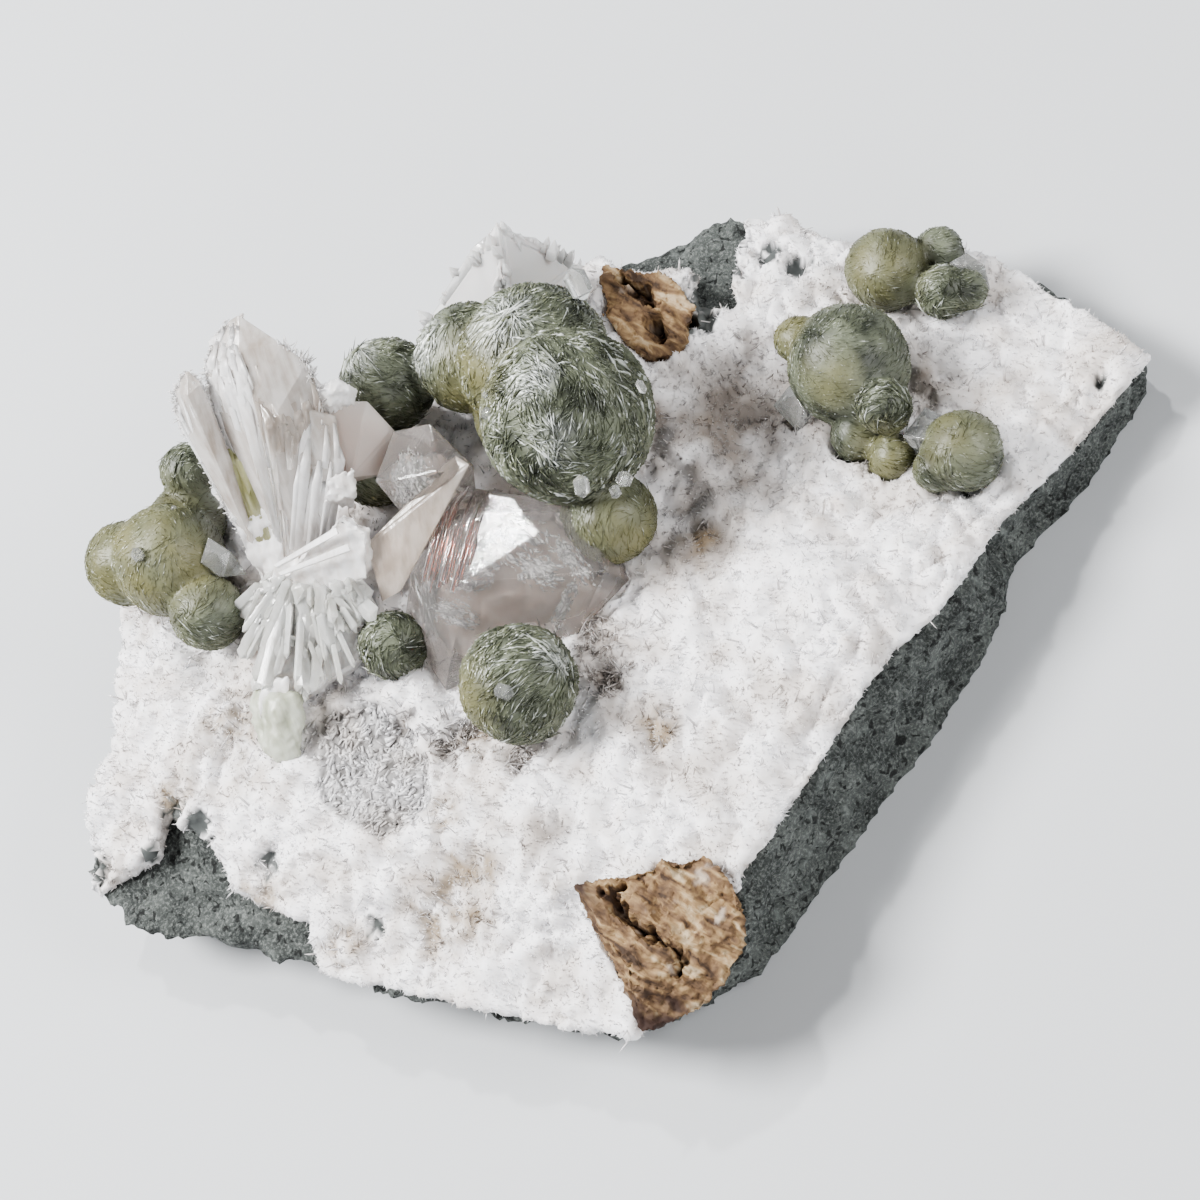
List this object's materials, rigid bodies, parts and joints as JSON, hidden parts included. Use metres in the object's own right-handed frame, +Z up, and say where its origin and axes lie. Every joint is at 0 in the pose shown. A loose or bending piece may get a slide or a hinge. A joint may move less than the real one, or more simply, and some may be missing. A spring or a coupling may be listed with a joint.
{
  "type": "gyrolite mineral specimen",
  "caption": "Green gyrolite balls, clear crystals and a pale bladed fan on a white needle crust, on a broken basalt plate that rests flat.",
  "frame": {"origin": "centre of the bounding box in plan, at the flat underside of the basalt plate", "axes": "+X along the length of the plate towards its thin end, +Y towards the edge behind the crystals, +Z up out of the crystal-covered face"},
  "size_m": [0.1302, 0.0924, 0.0441],
  "materials": {
    "basalt": "rough broken grey-green basalt with small round vesicles",
    "druse": "sparkling crust of fine white needles",
    "gyrolite": "olive to grey-green balls of fine pearly blades",
    "clear_crystal": "clear to veiled, slightly pinkish crystal with glassy faces",
    "white_blades": "translucent white to beige pearly blades",
    "pink_crystal": "milky pinkish crystal with smooth faces",
    "cast": "earthy, cracked and layered brown cast"
  },
  "bodies": {
    "root": {"basalt_matrix": "basalt", "needle_druse_crust": "druse", "gyrolite_main_cluster": "gyrolite", "gyrolite_front_ball": "gyrolite", "gyrolite_small_ball": "gyrolite", "gyrolite_left_cluster": "gyrolite", "gyrolite_right_upper": "gyrolite", "gyrolite_right_middle": "gyrolite", "gyrolite_right_lower": "gyrolite", "bladed_fan": "white_blades", "clear_block_crystals": "clear_crystal", "pyramid_crystals": "clear_crystal", "pink_crystal": "pink_crystal", "glassy_crystal_left": "clear_crystal", "clear_crystal_right_west": "clear_crystal", "clear_crystal_right_south": "clear_crystal", "clear_crystal_right_north": "clear_crystal", "brown_cast_front": "cast", "brown_cast_back": "cast"}
  },
  "joints": []
}
